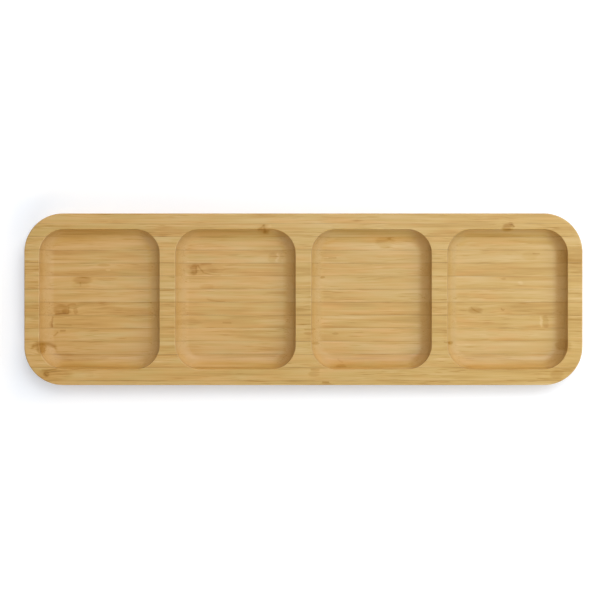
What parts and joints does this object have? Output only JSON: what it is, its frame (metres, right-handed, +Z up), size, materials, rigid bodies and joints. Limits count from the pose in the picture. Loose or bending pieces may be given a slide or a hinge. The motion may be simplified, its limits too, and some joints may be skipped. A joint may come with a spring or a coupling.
{
  "type": "divided serving plate",
  "caption": "Long shallow bamboo serving plate with rounded corners, laminated from strips on edge and routed with a row of coved compartments for snacks and dips.",
  "frame": {"origin": "centre of the flat underside", "axes": "+X along the grain and the row of compartments, +Y towards the back edge, +Z up out of the compartments"},
  "size_m": [0.39, 0.12, 0.018],
  "materials": {
    "bamboo": "oiled satin",
    "glue": "cured resin, sanded flush"
  },
  "bodies": {
    "root": {"bamboo_strip_01": "bamboo", "bamboo_strip_02": "bamboo", "bamboo_strip_03": "bamboo", "bamboo_strip_04": "bamboo", "bamboo_strip_05": "bamboo", "bamboo_strip_06": "bamboo", "bamboo_strip_07": "bamboo", "bamboo_strip_08": "bamboo", "bamboo_strip_09": "bamboo", "bamboo_strip_10": "bamboo", "bamboo_strip_11": "bamboo", "bamboo_strip_12": "bamboo", "bamboo_strip_13": "bamboo", "bamboo_strip_14": "bamboo", "glue_line_01": "glue", "glue_line_02": "glue", "glue_line_03": "glue", "glue_line_04": "glue", "glue_line_05": "glue", "glue_line_06": "glue", "glue_line_07": "glue", "glue_line_08": "glue", "glue_line_09": "glue", "glue_line_10": "glue", "glue_line_11": "glue", "glue_line_12": "glue", "glue_line_13": "glue"}
  },
  "joints": []
}
